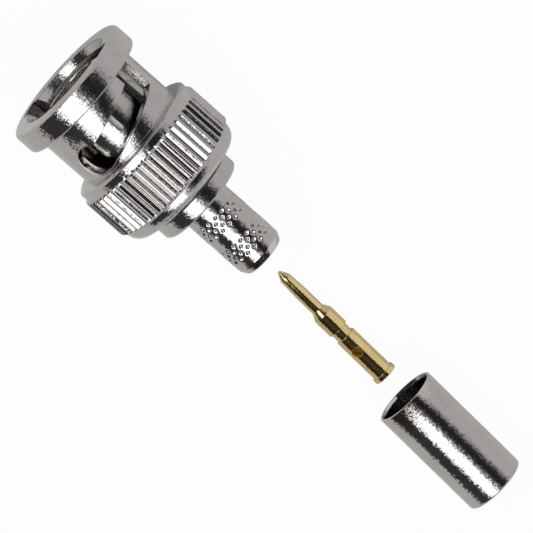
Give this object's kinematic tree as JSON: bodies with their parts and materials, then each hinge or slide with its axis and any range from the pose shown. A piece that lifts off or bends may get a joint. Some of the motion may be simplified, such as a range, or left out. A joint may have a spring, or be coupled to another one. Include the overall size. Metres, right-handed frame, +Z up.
{
  "type": "coaxial bayonet crimp plug kit",
  "caption": "Coaxial bayonet plug for crimping: spring-loaded coupling nut with J slots on a knurled crimp body, with its loose centre contact and crimp ferrule laid out in line.",
  "frame": {"origin": "centre of the bounding box's underside, on the surface that the three loose pieces lie on", "axes": "+X from the mating end towards the cable end, +Z up from the surface"},
  "size_m": [0.0596, 0.015, 0.0151],
  "materials": {
    "nickel_plate": "polished nickel plate on brass",
    "nickel_spring": "nickel-plated spring bronze",
    "spring_steel": "stainless spring strip",
    "gold_plate": "gold plate on brass",
    "silicone": "red-brown silicone rubber",
    "ptfe": "white PTFE, turned"
  },
  "bodies": {
    "plug_body": {"crimp_body": "nickel_plate", "outer_contact": "nickel_spring", "gasket": "silicone", "insulator": "ptfe", "wave_washer_front": "spring_steel", "wave_washer_rear": "spring_steel", "centre_contact": "gold_plate", "crimp_ferrule": "nickel_plate"},
    "thrust": {"thrust_washer": "nickel_spring"},
    "coupling": {"coupling_nut": "nickel_plate", "retaining_ring": "spring_steel"}
  },
  "joints": [
    {"name": "nut_pull", "type": "slide", "parent": "plug_body", "child": "thrust", "axis": [-1, 0, 0], "range_m": [0, 0.0006], "stiffness_N_per_m": 1500, "springref_m": -0.0005, "deforming": ["wave_washer_front", "wave_washer_rear"]},
    {"name": "nut_turn", "type": "hinge", "parent": "thrust", "child": "coupling", "pos_m": [-0.02233, 0, 0.00753], "axis": [1, 0, 0], "continuous": true}
  ]
}
